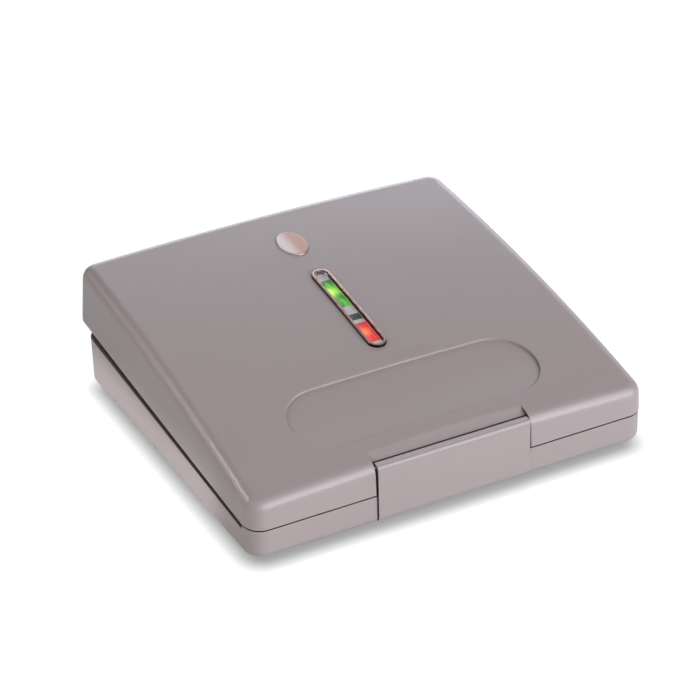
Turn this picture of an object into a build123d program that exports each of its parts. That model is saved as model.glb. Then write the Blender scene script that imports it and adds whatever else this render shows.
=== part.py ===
from build123d import *
import os
from math import asin, cos, degrees, radians, sin, sqrt, tan

# Two-slice sandwich maker, closed, standing on its feet.
# Millimetres. +X to the right, +Y to the hinge at the back, +Z up.
# The origin is on the surface it stands on, under the middle of the body.

# ---- outline of the closed body ----
body_width = 230.0
body_depth = 220.0            # lid front face to lid back face
corner_radius = 10.0          # upright corners, seen from above
latch_proud = 0.6             # latch face in front of the lid face
wall = 2.4                    # moulded housing walls
foot_height = 5.0
seat_gap = 0.05               # between pieces that rest on each other under curved walls

# ---- parting line between lid and base, rising to the back ----
parting_front = 21.7          # height above the table at the front
parting_tilt = 4.05           # degrees
rim_gap = 1.0                 # between the two rims
side_reveal = 2.2             # extra gap along both sides
reveal_depth = 5.0

# ---- lid ----
lid_front_top = 36.9          # where the top meets the front face, at the sides
lid_back_top = 68.8           # where the top meets the back face, at the sides
lid_front_slope = 12.55       # degrees
lid_crown = 2.7               # rise of the top from its sides to its middle
lid_bend_radius = 1200.0      # between the front slope and the level back
lid_edge_radius = 7.0
lid_draft = 2.0               # degrees, front, back and the front of the sides
lid_back_draft = 5.0          # degrees, sides at the back, where they lean in more
lid_back_round = 13.0         # rounded back bottom of the lid

# ---- base ----
base_side_inset = 0.1
base_front_inset = 0.3
base_back_inset = 14.0
base_draft = 0.3              # degrees
base_bottom_radius = 3.8
cover_lip = 8.0               # bottom edge of the base that frames the cover
cover_thickness = 2.0
cover_clearance = 0.3

# ---- hinge ----
hinge_behind_base = 3.0       # axis behind the back wall of the base
hinge_below_rim = 1.0
hinge_side = 40.0             # from the body's side to the middle of a hinge
knuckle_radius = 4.0
knuckle_width = 7.2           # the lid's knuckle
ear_width = 4.2               # each of the base's two ears
knuckle_side_gap = 0.4
hinge_pin_radius = 2.0
hinge_running_clearance = 0.05
hinge_rib_height = 16.0       # rib in the lid above each knuckle
knuckle_clearance = 0.6       # walls round the ears and the knuckle

# ---- latch ----
latch_width = 88.0
latch_side_gap = 1.0          # to the lid
latch_base_gap = 0.5          # to the base, at the sides
latch_thickness = 2.6
latch_barrel_radius = 2.4
latch_pivot_back = 3.7        # axis behind the latch face
latch_top = 39.2
latch_top_radius = 2.2
latch_pin_radius = 1.0
latch_running_clearance = 0.05
latch_running_gap = 0.5       # to the base round it
latch_pin_reach = 8.0         # into the latch, and into the lid's boss
latch_boss_radius = 3.4
hook_height = 3.0
hook_bite = 1.0               # of the hook under the catch
hook_gap = 0.5
catch_height = 3.0
catch_top = 17.5
catch_width = 40.0
latch_back_space = 3.4        # behind the latch plate
latch_rib_count = 4
latch_rib_spacing = 20.0
latch_rib_thickness = 1.4
latch_rib_depth = 1.6

# ---- notch in the lid above the latch ----
notch_wall_y = 6.1            # recessed wall behind the lid's front face
notch_drop = 0.8              # top of that wall under the latch's top
notch_slope = 34.0            # degrees, from that wall up to the lid's top
notch_edge = 0.5              # bevel at the top of that slope

# ---- finger recess in the lid's top ----
recess_length = 143.0
recess_width = 43.0
recess_front = 20.0           # from the lid's front face to the recess
recess_depth = 1.5
recess_ramp = 18.0            # length of the sloping front part
recess_front_depth = 0.55
recess_blend = 150.0          # between the level part and the sloping part
recess_edge_radius = 0.35

# ---- lamp window ----
window_length = 73.0
window_width = 10.8
window_rim = 1.5
window_middle_y = 4.0
window_proud = 1.4
window_edge_radius = 0.6
lens_proud = 0.4
lens_thickness = 2.4
filter_thickness = 1.4
filter_gap = 0.8
green_start = 7.0             # from the window's back end
green_length = 26.0
red_start = 48.0
red_length = 20.0
lamp_radius = 2.0
lamp_length = 14.0
lamp_gap = 0.5                # between a filter and its lamp, and round the lamp
lamp_box_wall = 1.2
lamp_ledge = 0.8              # under the rim of each filter
divider_start = 40.0          # dark tile between the filters
divider_length = 5.5

# ---- plain oval disc near the back of the lid ----
disc_width = 16.0
disc_length = 24.0
disc_from_back = 40.3         # from the lid's back face to its middle
disc_proud = 0.8
disc_edge_radius = 0.5
disc_sunk = 0.8

# ---- grill plates ----
plate_side = 11.0             # from the body's side
plate_front = 30.7            # from the lid's front face
plate_back = 25.3             # from the base's back face
plate_corner = 10.0
plate_gap = 0.6               # between the two plates
flange_thickness = 2.5
plate_wall = 2.0
pocket_depth = 8.0
pocket_rim = 8.0              # beside the slices and between them
pocket_end = 11.0             # in front of the slices and behind them
pocket_draft = 35.0           # degrees
pocket_corner = 7.0
ridge_width = 5.0             # between the two triangles of a slice
plate_clearance = 0.4         # to the deck round it
ledge_width = 4.0
ledge_thickness = 2.2
deck_thickness = 2.2

# ---- plate screws and their bosses ----
plate_screw_radius = 1.5
plate_screw_head = 2.8
plate_screw_length = 9.0
plate_screw_side = 44.0       # from the plate's side
plate_screw_edge = 4.7        # from the plate's edge
boss_radius = 3.6
boss_length = 9.0

# ---- heaters ----
heater_radius = 2.5
heater_side = 52.0            # from the plate's sides to the legs of the U
heater_bend = 20.0
heater_end = 24.0             # from the plate's front and back to the tube
terminal_radius = 1.2
terminal_length = 9.0
reflector_thickness = 0.8
reflector_side = 20.0         # from the plate's sides
reflector_end = 11.0          # from the plate's front and back
reflector_rim = 2.4
reflector_gap = 0.1
lead_hole_radius = 2.4        # in the tray, over the end of each heater pin
stud_radius = 3.2
stud_spacing = 70.0
stud_screw_radius = 1.4
stud_screw_head = 2.8
stud_screw_head_height = 1.4
stud_screw_length = 7.0

# ---- thermostat, thermal fuse, terminal block ----
thermostat_radius = 6.0
thermostat_height = 12.0
thermostat_x = 30.0
thermostat_y = -4.0
thermostat_window = 10.0
fuse_radius = 2.0
fuse_length = 12.0
fuse_x = 28.0
fuse_y = -4.0
block_size = (26.0, 10.0, 11.0)
block_x = -40.0
block_behind = 1.5            # from the rim that frames the cover
block_ways = 3

# ---- cord inlet ----
inlet_x = -55.0
inlet_hole_radius = 4.6
inlet_bore_radius = 3.3
inlet_flange_radius = 6.4
inlet_flange = 2.0
inlet_play = 0.3              # between the wall and the inner flange

# ---- posts and screws that close the housings ----
post_radius = 4.2
post_side = 23.0              # from the body's side
post_front = 18.0             # from the lid's front face
post_back = 27.0              # from the lid's back face
post_screw_radius = 1.6
post_screw_head = 3.2
post_screw_head_height = 1.2
post_screw_length = 9.0

# ---- feet ----
foot_radius = 7.5
foot_taper = 1.2
foot_side = 45.0              # from the body's side
foot_front = 24.0             # from the lid's front face
foot_back = 46.0              # from the lid's back face
foot_neck_radius = 2.8
foot_head_radius = 3.6
foot_head_height = 1.4

# ---- vents in the bottom cover ----
vent_count = 7
vent_pitch = 9.0
vent_width = 3.0
vent_length = 40.0

# ---- worked out from the sizes above ----
front_y = -(body_depth - latch_proud) / 2
back_y = front_y + body_depth
latch_face_y = front_y - latch_proud
base_back_y = back_y - base_back_inset
big = body_width + body_depth
over = lid_back_top / 2        # cutting tools stand this far above the lid's top


def parting_z(y):
    return parting_front + (y - front_y) * tan(radians(parting_tilt))


plate_width = body_width - 2 * plate_side
plate_length = base_back_y - plate_back - front_y - plate_front
plate_middle_y = front_y + plate_front + plate_length / 2
pocket_width = (plate_width - 3 * pocket_rim) / 2
pocket_length = plate_length - 2 * pocket_end
pocket_spacing = pocket_width + pocket_rim
hinge_y = base_back_y + hinge_behind_base
hinge_z = parting_z(hinge_y) - hinge_below_rim
pivot_y = latch_face_y + latch_pivot_back
pivot_z = latch_top - latch_barrel_radius
filter_drop = lens_thickness - lens_proud + filter_gap
lamp_drop = filter_drop + filter_thickness + lamp_gap + lamp_radius
disc_middle_y = back_y - disc_from_back
plate_face = plate_gap / 2
pocket_floor = plate_face + pocket_depth
pocket_back = pocket_floor + plate_wall
heater_level = pocket_back + heater_radius
reflector_level = heater_level + heater_radius + reflector_gap
ledge_level = plate_face + flange_thickness
cover_top = foot_height + cover_thickness
inlet_z = foot_height + base_bottom_radius + inlet_flange_radius + cover_clearance


def on_parting(shape):
    """Carry a shape drawn about the level parting plane to its tilted place."""
    tilted = Rot(parting_tilt, 0, 0) * shape
    return Pos(0, 0, parting_z(0)) * tilted


def slab(x0, x1, y0, y1, z0, z1):
    box = Box(x1 - x0, y1 - y0, z1 - z0)
    return Pos((x0 + x1) / 2, (y0 + y1) / 2, (z0 + z1) / 2) * box


def rod_x(x0, x1, y, z, radius):
    """Round bar along X."""
    bar = Rot(0, 90, 0) * Cylinder(radius, x1 - x0)
    return Pos((x0 + x1) / 2, y, z) * bar


def rod_y(x, y0, y1, z, radius):
    """Round bar along Y."""
    bar = Rot(90, 0, 0) * Cylinder(radius, y1 - y0)
    return Pos(x, (y0 + y1) / 2, z) * bar


def rod_z(x, y, z0, z1, radius):
    """Round bar along Z."""
    return Pos(x, y, (z0 + z1) / 2) * Cylinder(radius, z1 - z0)


def above_parting(offset):
    """Everything higher than the parting plane moved up by offset."""
    return on_parting(slab(-big, big, -big, big, offset, offset + big))


def below_parting(offset):
    """Everything lower than the parting plane moved up by offset."""
    return on_parting(slab(-big, big, -big, big, offset - big, offset))


def drafted(width, y0, y1, radius, z0, z1, draft, back_draft, waist):
    """Upright block with rounded corners that narrows upwards, true to size at z = waist."""
    sections = []
    for z in (z0, z1):
        shrink = (z - waist) * tan(radians(draft))
        back_shrink = (z - waist) * tan(radians(back_draft))
        front_x = width / 2 - shrink
        back_x = width / 2 - back_shrink
        outline = make_face(Polyline((-front_x, y0 + shrink), (front_x, y0 + shrink), (back_x, y1 - shrink),
                                     (-back_x, y1 - shrink), (-front_x, y0 + shrink)))
        sections.append(Pos(0, 0, z) * fillet(outline.vertices(), radius - shrink))
    return loft(sections, ruled=True)


# ---- outer forms of the two housings ----

def crest(drop):
    """Front end, bend and back end of the line along the lid's crest, lowered by drop."""
    front = tan(radians(lid_front_slope))
    back = tan(radians(parting_tilt))
    front_height = lid_front_top + lid_crown - drop * sqrt(1 + front ** 2) - front_y * front
    back_height = lid_back_top + lid_crown - drop * sqrt(1 + back ** 2) - back_y * back
    bend_y = (back_height - front_height) / (front - back)
    start_y = front_y - body_depth / 6
    end_y = back_y + body_depth / 6
    return [(0, y, height + y * slope) for y, height, slope in (
        (start_y, front_height, front), (bend_y, front_height, front), (end_y, back_height, back))]


def under_crest(y, drop):
    """Place at the given depth under the bend of the crest, tilted with it."""
    middle = Vector(crest(lid_bend_radius)[1])
    slope = asin((middle.Y - y) / lid_bend_radius)
    reach = lid_bend_radius - drop
    return Pos(0, middle.Y - reach * sin(slope), middle.Z + reach * cos(slope)) * Rot(degrees(slope), 0, 0)


def crown_body(drop):
    """All that lies under the lid's crowned top, with the top lowered by drop."""
    return crowned(crest(drop), lid_bend_radius - drop, drop)


def crowned(points, bend_radius, drop):
    """All that lies under a surface, crowned across X like the lid's top, that follows three points."""
    start, middle, end = [Vector(point) for point in points]
    path = FilletPolyline(start, middle, end, radius=bend_radius)
    half = body_width / 2
    crown_radius = (half ** 2 + lid_crown ** 2) / (2 * lid_crown) - drop
    reach = half * 1.2
    sag = crown_radius - sqrt(crown_radius ** 2 - reach ** 2)
    depth = lid_back_top
    outline = Curve() + [
        ThreePointArc((-reach, -sag), (0, 0), (reach, -sag)),
        Polyline((reach, -sag), (reach, -depth), (-reach, -depth), (-reach, -sag)),
    ]
    across = Plane(origin=start, x_dir=(1, 0, 0), z_dir=start - middle)
    return sweep(across * make_face(outline), path=path)


def lid_form(inset):
    """Outer form of the lid moved inwards by inset, open downwards."""
    block = drafted(body_width - 2 * inset, front_y + inset, back_y - inset, corner_radius - inset,
                    parting_front - lid_back_round, lid_back_top + lid_back_round,
                    lid_draft, lid_back_draft, parting_front)
    form = block & crown_body(inset)
    edges = [edge for edge in form.edges() if is_top_edge(edge)]
    form = fillet(edges, lid_edge_radius - inset)
    round_y = back_y - lid_back_round
    round_z = parting_z(round_y) + rim_gap / 2 + lid_back_round
    under = slab(-big, big, round_y, big, -big, round_z)
    under -= rod_x(-big, big, round_y, round_z, lid_back_round - inset)
    return form - under


def is_top_edge(edge):
    """True for the edges round the lid's top, but not for the seams across it."""
    box = edge.bounding_box()
    high = box.min.Z > parting_z(back_y)
    across = box.size.X > body_width / 2
    at_end = min(abs(box.center().Y - front_y), abs(box.center().Y - back_y)) < corner_radius
    return high and (at_end or not across)


def base_form(inset):
    """Outer form of the base moved inwards by inset."""
    width = body_width - 2 * base_side_inset - 2 * inset
    block = drafted(width, front_y + base_front_inset + inset, base_back_y - inset,
                    corner_radius - inset, foot_height + inset, parting_z(back_y),
                    -base_draft, -base_draft, parting_z(0))
    rim = [edge for edge in block.edges() if edge.bounding_box().max.Z < foot_height + inset + 0.01]
    return fillet(rim, base_bottom_radius - inset)


# ---- shared frames round the plates ----

def plate_outline(grow):
    outline = RectangleRounded(plate_width + 2 * grow, plate_length + 2 * grow, plate_corner + grow)
    return Pos(0, plate_middle_y, 0) * outline


def plate_prism(grow, z0, z1):
    return Pos(0, 0, z0) * extrude(plate_outline(grow), amount=z1 - z0)


def plate_screw_places():
    x = plate_width / 2 - plate_screw_side
    y = plate_length / 2 - plate_screw_edge
    return [(side * x, plate_middle_y + end * y) for side in (-1, 1) for end in (-1, 1)]


def ledge_solid():
    """Ledge and screw bosses that carry a plate, drawn for the lid (above the parting plane)."""
    ledge = plate_prism(plate_clearance + wall, rim_gap / 2, ledge_level + ledge_thickness)
    ledge -= plate_prism(-ledge_width, 0, big)
    for x, y in plate_screw_places():
        ledge += rod_z(x, y, ledge_level, ledge_level + boss_length, boss_radius)
    ledge -= plate_prism(plate_clearance, 0, ledge_level)
    for x, y in plate_screw_places():
        ledge -= rod_z(x, y, 0, ledge_level + boss_length, plate_screw_radius)
    return ledge


def post_places():
    x = body_width / 2 - post_side
    return [(side * x, y) for side in (-1, 1) for y in (front_y + post_front, back_y - post_back)]


def notch_block(grow, z0):
    """Space of the latch in the front, wider by grow, from z0 up."""
    half = latch_width / 2 + latch_side_gap + grow
    return slab(-half, half, -big, front_y + notch_wall_y + grow, z0, big)


def notch_wedge(grow):
    """Space over the slope that leads from the notch's wall up to the lid's top."""
    half = latch_width / 2 + latch_side_gap + grow
    y = front_y + notch_wall_y
    z = latch_top - notch_drop - grow / cos(radians(notch_slope))
    top = z + over * tan(radians(notch_slope))
    outline = make_face(Polyline((0, y, z), (0, y + over, top), (0, y, top), close=True))
    return extrude(outline, amount=half, dir=(1, 0, 0), both=True)


def hinge_places():
    x = body_width / 2 - hinge_side
    return (-x, x)


def ear_ranges(middle):
    inner = knuckle_width / 2 + knuckle_side_gap
    outer = inner + ear_width
    return ((middle - outer, middle - inner), (middle + inner, middle + outer))


# ---- lid ----

def recess_tool():
    """Finger recess: its floor follows the lid's top and rises gently to the front."""
    y0 = front_y + recess_front
    y1 = y0 + recess_width
    outline = Pos(0, (y0 + y1) / 2, 0) * SlotOverall(recess_length, recess_width)
    turn = under_crest(y0 + recess_ramp, recess_depth)
    rise = (recess_depth - recess_front_depth) / recess_ramp
    front = turn * Pos(0, -recess_width, recess_width * rise)
    back = turn * Pos(0, recess_width, 0)
    floor = crowned([place.position for place in (front, turn, back)], recess_blend, recess_depth)
    return extrude(outline, amount=big) - floor


def notch_rim(form):
    """Edge between the notch's slope and the lid's top."""
    across = [edge for edge in form.edges() if edge.bounding_box().size.X > latch_width * 0.9]
    high = [edge for edge in across if edge.center().Z > latch_top]
    return [edge for edge in high if front_y + notch_wall_y < edge.center().Y < front_y + recess_front]


def recess_rim(form):
    """Edges between the recess and the lid's top: its two long sides and its two round ends."""
    rim = []
    for y in (front_y + recess_front, front_y + recess_front + recess_width):
        along = [edge for edge in form.edges() if abs(edge.center().Y - y) < seat_gap]
        long = [edge for edge in along if edge.length > recess_length / 2]
        rim.append(max(long, key=lambda edge: edge.center().Z))
    ends = [edge for edge in form.edges() if abs(edge.center().X) < recess_length / 2]
    return rim + [edge for edge in ends if edge.bounding_box().size.Y > recess_width * 0.9]


def lid_outside():
    """Outer form of the lid with its notch and its finger recess."""
    form = lid_form(0) - notch_block(0, 0) - notch_wedge(0)
    form = chamfer(notch_rim(form), notch_edge) - recess_tool()
    return fillet(recess_rim(form), recess_edge_radius)


def recess_backing():
    y0 = front_y + recess_front
    y1 = y0 + recess_width
    outline = SlotOverall(recess_length + 2 * wall, recess_width + 2 * wall)
    prism = extrude(Pos(0, (y0 + y1) / 2, 0) * outline, amount=big)
    return (prism & crown_body(wall / 2)) - crown_body(recess_depth + wall)


def inlay(outline, depth_top, depth_bottom, edge_radius):
    """Upright piece between two levels under the crowned top, with its top edge rounded."""
    body = extrude(outline, amount=big) & crown_body(depth_top)
    if edge_radius:
        rim = [edge for edge in body.edges() if edge.center().Z > over and is_level(edge)]
        body = fillet(rim, edge_radius)
    return body - crown_body(depth_bottom)


def is_level(edge):
    size = edge.bounding_box().size
    return size.Z < size.X + size.Y


def stadium(length, width, depth_top, depth_bottom, middle, edge_radius=0):
    outline = Pos(0, middle, 0) * (Rot(0, 0, 90) * SlotOverall(length, width))
    return inlay(outline, depth_top, depth_bottom, edge_radius)


def oval(length, width, depth_top, depth_bottom, middle, edge_radius=0):
    outline = Pos(0, middle, 0) * Ellipse(width / 2, length / 2)
    return inlay(outline, depth_top, depth_bottom, edge_radius)


def lid_shell():
    outer = lid_outside()
    shell = outer - lid_form(wall)
    shell -= below_parting(rim_gap / 2)
    inside = outer & above_parting(rim_gap / 2)
    backing = recess_backing()
    backing += notch_block(wall, 0)
    backing += notch_wedge(wall)
    for x, y in post_places():
        backing += on_parting(rod_z(x, y, rim_gap / 2 + deck_thickness, big, post_radius))
    for side in (-1, 1):
        start = side * (latch_width / 2 + latch_side_gap)
        end = start + side * (latch_pin_reach + wall)
        backing += rod_x(min(start, end), max(start, end), pivot_y, pivot_z, latch_boss_radius)
    for middle in hinge_places():
        left = middle - knuckle_width / 2
        right = middle + knuckle_width / 2
        rib_y = hinge_y - knuckle_radius / 2
        backing += slab(left, right, rib_y, back_y, hinge_z, hinge_z + hinge_rib_height)
    shell += backing & inside
    for middle in hinge_places():
        left = middle - knuckle_width / 2
        right = middle + knuckle_width / 2
        shell += rod_x(left, right, hinge_y, hinge_z, knuckle_radius)
        for x0, x1 in ear_ranges(middle):
            shell -= rod_x(x0 - knuckle_side_gap, x1 + knuckle_side_gap, hinge_y, hinge_z,
                           knuckle_radius + knuckle_clearance)
        shell -= rod_x(left, right, hinge_y, hinge_z, hinge_pin_radius + hinge_running_clearance)
    shell -= stadium(window_length - window_rim, window_width - window_rim, -over, over, window_middle_y)
    shell -= oval(disc_length, disc_width, -over, disc_sunk, disc_middle_y)
    pin_end = latch_width / 2 + latch_side_gap + latch_pin_reach
    shell -= rod_x(-pin_end, pin_end, pivot_y, pivot_z, latch_pin_radius)
    for x, y in post_places():
        hole_end = rim_gap / 2 + deck_thickness + post_screw_length
        shell -= on_parting(rod_z(x, y, 0, hole_end, post_screw_radius))
    return shell


def lid_frame():
    """Deck that closes the lid from below and carries the upper plate."""
    low = rim_gap / 2
    deck = lid_form(wall + cover_clearance) & above_parting(low) & below_parting(low + deck_thickness)
    deck -= slab(-big, big, base_back_y - wall, big, -big, big)
    deck -= on_parting(plate_prism(plate_clearance, -big, big))
    deck += on_parting(ledge_solid())
    deck -= notch_block(wall + cover_clearance, 0)
    for x, y in post_places():
        deck -= on_parting(rod_z(x, y, 0, big, post_screw_radius))
        deck -= on_parting(rod_z(x, y, 0, low + post_screw_head_height, post_screw_head))
    return deck


# ---- base ----

def base_shell():
    outer = base_form(0)
    low = -rim_gap / 2
    cavity = base_form(wall) & below_parting(low - deck_thickness)
    ledge = Rot(180, 0, 0) * (Pos(0, -2 * plate_middle_y, 0) * ledge_solid())
    cavity -= on_parting(ledge)
    for side in (-1, 1):
        cavity -= on_parting(reveal_strip(side, wall))
    shell = (outer & below_parting(low)) - cavity
    recess = latch_space(wall)
    shell += recess & outer & below_parting(low)
    shell -= latch_space(0)
    shell += catch_solid()
    shell -= on_parting(plate_prism(plate_clearance, low - flange_thickness, big))
    shell -= on_parting(plate_prism(-ledge_width, -big / 2, big))
    for side in (-1, 1):
        shell -= on_parting(reveal_strip(side, 0))
    opening = cover_outline(0)
    shell -= Pos(0, 0, foot_height - cover_thickness) * extrude(opening, amount=2 * cover_thickness + wall)
    for x, y in post_places():
        shell += rod_z(x, y, cover_top, parting_z(y) - rim_gap, post_radius) & outer
        shell -= rod_z(x, y, 0, cover_top + post_screw_length, post_screw_radius)
    for middle in hinge_places():
        for x0, x1 in ear_ranges(middle):
            ear = rod_x(x0, x1, hinge_y, hinge_z, knuckle_radius)
            shell += ear - slab(-big, big, -big, base_back_y - wall / 2, -big, big)
            shell -= rod_x(x0, x1, hinge_y, hinge_z, hinge_pin_radius)
        room = knuckle_width / 2 + knuckle_side_gap
        shell -= rod_x(middle - room, middle + room, hinge_y, hinge_z, knuckle_radius + knuckle_clearance)
    shell -= rod_y(inlet_x, base_back_y - 3 * wall, base_back_y + wall, inlet_z, inlet_hole_radius)
    return shell


def reveal_strip(side, grow):
    """Space along one side of the base's rim, wider by grow."""
    edge = side * (body_width / 2 - base_side_inset - reveal_depth - grow)
    y = front_y + corner_radius - grow
    return slab(min(edge, side * big), max(edge, side * big), y, big, -rim_gap / 2 - side_reveal - grow, big)


def cover_outline(shrink):
    width = body_width - 2 * base_side_inset - 2 * cover_lip - 2 * shrink
    y0 = front_y + notch_wall_y + cover_lip + shrink
    y1 = base_back_y - cover_lip - shrink
    return Pos(0, (y0 + y1) / 2, 0) * RectangleRounded(width, y1 - y0, corner_radius - shrink)


def latch_space(grow):
    """Space in front of the base that the latch closes into."""
    half = latch_width / 2 + latch_base_gap + grow
    back = latch_face_y + latch_thickness + latch_back_space + grow
    return slab(-half, half, -big, back, -big, big)


def catch_solid():
    """Ledge on the base that the latch's hook snaps under."""
    back = latch_face_y + latch_thickness + latch_back_space
    front = latch_face_y + latch_thickness + (latch_back_space - hook_bite) / 2
    half = catch_width / 2
    outline = make_face(Polyline((0, back + wall / 2, catch_top), (0, back, catch_top),
                                 (0, front, catch_top - hook_bite), (0, front, catch_top - catch_height),
                                 (0, back + wall / 2, catch_top - catch_height),
                                 (0, back + wall / 2, catch_top)))
    return extrude(outline, amount=half, dir=(1, 0, 0), both=True)


def bottom_cover():
    cover = Pos(0, 0, foot_height) * extrude(cover_outline(cover_clearance), amount=cover_thickness)
    for x, y in foot_places():
        cover -= rod_z(x, y, 0, big, foot_neck_radius)
    for x, y in post_places():
        cover -= rod_z(x, y, 0, big, post_screw_radius)
        cover -= rod_z(x, y, 0, foot_height + post_screw_head_height, post_screw_head)
    first = -(vent_count - 1) / 2
    for index in range(vent_count):
        x = (first + index) * vent_pitch
        slot = Pos(x, 0, 0) * (Rot(0, 0, 90) * SlotOverall(vent_length, vent_width))
        cover -= extrude(slot, amount=big)
    return cover


def foot_places():
    x = body_width / 2 - foot_side
    return [(side * x, y) for side in (-1, 1) for y in (front_y + foot_front, back_y - foot_back)]


def rubber_foot(x, y):
    top = cover_top + foot_head_height
    outline = make_face(Polyline((0, 0), (foot_radius - foot_taper, 0), (foot_radius, foot_height),
                                 (foot_neck_radius, foot_height), (foot_neck_radius, cover_top),
                                 (foot_head_radius, cover_top), (foot_neck_radius, top), (0, top), (0, 0)))
    foot = revolve(Plane.XZ * outline, Axis.Z)
    return Pos(x, y, 0) * foot


# ---- plates, heaters and reflectors, drawn for the lid (above the parting plane) ----

def triangles(shrink):
    """The four triangular pockets of a plate, as outlines at the plate's face."""
    outlines = []
    half_w = pocket_width / 2
    half_l = pocket_length / 2
    gap = ridge_width / 2 * sqrt(half_w ** 2 + half_l ** 2) / half_l
    rise = gap * half_l / half_w
    for side in (-1, 1):
        for end in (-1, 1):
            corner = (side * end * half_w, end * half_l)
            along = (-side * end * (half_w - 2 * gap), end * half_l)
            down = (side * end * half_w, -end * (half_l - 2 * rise))
            flat = make_face(Polyline(*[corner, along, down][::side], close=True))
            flat = offset(flat, -shrink) if shrink else flat
            flat = fillet(flat.vertices(), pocket_corner - shrink)
            outlines.append(Pos(side * pocket_spacing / 2, plate_middle_y, 0) * flat)
    return outlines


def plate():
    body = plate_prism(0, plate_face, plate_face + flange_thickness)
    for outline in triangles(0):
        back = offset(outline, plate_wall)
        body += Pos(0, 0, plate_face) * extrude(back, amount=pocket_depth + plate_wall, taper=pocket_draft)
    for outline in triangles(0):
        body -= Pos(0, 0, plate_face) * extrude(outline, amount=pocket_depth, taper=pocket_draft)
    for y in stud_places():
        body += rod_z(0, y, plate_face, reflector_level, stud_radius)
        body -= rod_z(0, y, reflector_level - stud_screw_length, big, stud_screw_radius)
    for x, y in plate_screw_places():
        head = Cone(plate_screw_head, plate_screw_radius, plate_screw_head - plate_screw_radius)
        body -= rod_z(x, y, 0, big, plate_screw_radius)
        body -= Pos(x, y, plate_face + (plate_screw_head - plate_screw_radius) / 2) * head
    return body


def stud_places():
    return (plate_middle_y - stud_spacing / 2, plate_middle_y + stud_spacing / 2)


def heater():
    """Tubular element bent to a U, with a pin at each end."""
    half = plate_width / 2 - heater_side
    y0 = plate_middle_y - plate_length / 2 + heater_end
    y1 = plate_middle_y + plate_length / 2 - heater_end - terminal_length
    path = FilletPolyline((-half, y1, heater_level), (-half, y0, heater_level), (half, y0, heater_level),
                          (half, y1, heater_level), radius=heater_bend)
    section = Plane(origin=(-half, y1, heater_level), z_dir=(0, -1, 0)) * Circle(heater_radius)
    tube = sweep(section, path=path)
    for x in (-half, half):
        tube += rod_y(x, y1, y1 + terminal_length, heater_level, terminal_radius)
    return tube


def reflector(cut_for_thermostat):
    """Thin tray over the heater, with its rim turned towards the plate."""
    half_w = plate_width / 2 - reflector_side
    half_l = plate_length / 2 - reflector_end
    y0 = plate_middle_y - half_l
    y1 = plate_middle_y + half_l
    low = reflector_level - reflector_rim
    tray = slab(-half_w, half_w, y0, y1, low, reflector_level + reflector_thickness)
    upright = [edge for edge in tray.edges() if edge.bounding_box().size.Z > reflector_rim]
    tray = fillet(upright, plate_corner)
    inner = slab(-half_w + reflector_thickness, half_w - reflector_thickness, y0 + reflector_thickness,
                 y1 - reflector_thickness, low, reflector_level)
    upright = [edge for edge in inner.edges() if edge.bounding_box().size.Z > reflector_rim / 2]
    tray -= fillet(upright, plate_corner - reflector_thickness)
    for y in stud_places():
        tray -= rod_z(0, y, 0, big, stud_screw_radius)
    for side in (-1, 1):
        x = side * (plate_width / 2 - heater_side)
        tray -= rod_z(x, plate_middle_y + plate_length / 2 - heater_end, 0, big, lead_hole_radius)
    if cut_for_thermostat:
        tray -= rod_z(thermostat_x, thermostat_y, 0, big, thermostat_window)
    return tray


def reflector_screws():
    screws = []
    top = reflector_level + reflector_thickness
    for y in stud_places():
        screw = rod_z(0, y, top - stud_screw_length, top, stud_screw_radius)
        screw += rod_z(0, y, top, top + stud_screw_head_height, stud_screw_head)
        screws.append(screw)
    return screws


def plate_screws():
    screws = []
    head_height = plate_screw_head - plate_screw_radius
    head = Cone(plate_screw_head, plate_screw_radius, head_height)
    for x, y in plate_screw_places():
        screw = rod_z(x, y, plate_face, plate_face + plate_screw_length, plate_screw_radius)
        screws.append(screw + Pos(x, y, plate_face + head_height / 2) * head)
    return screws


def to_lid(shape):
    return on_parting(shape)


def to_base(shape):
    """Mirror a shape of the lid's side to the base's side of the parting plane."""
    return on_parting(mirror(shape, about=Plane.XY))


# ---- lid screws, base screws ----

def lid_frame_screws():
    low = rim_gap / 2
    screws = []
    for x, y in post_places():
        start = low + post_screw_head_height
        screw = rod_z(x, y, start, low + deck_thickness + post_screw_length, post_screw_radius)
        screw += rod_z(x, y, low, start, post_screw_head)
        screws.append(on_parting(screw))
    return screws


def cover_screws():
    screws = []
    for x, y in post_places():
        start = foot_height + post_screw_head_height
        screw = rod_z(x, y, start, cover_top + post_screw_length, post_screw_radius)
        screw += rod_z(x, y, foot_height, start, post_screw_head)
        screws.append(screw)
    return screws


# ---- latch ----

def edges_at(shape, y, z):
    """Edges of a shape that run along X at y and z."""
    near = [edge for edge in shape.edges() if edge.bounding_box().size.X > big / 100]
    return [edge for edge in near if abs(edge.center().Y - y) + abs(edge.center().Z - z) < seat_gap]


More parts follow.
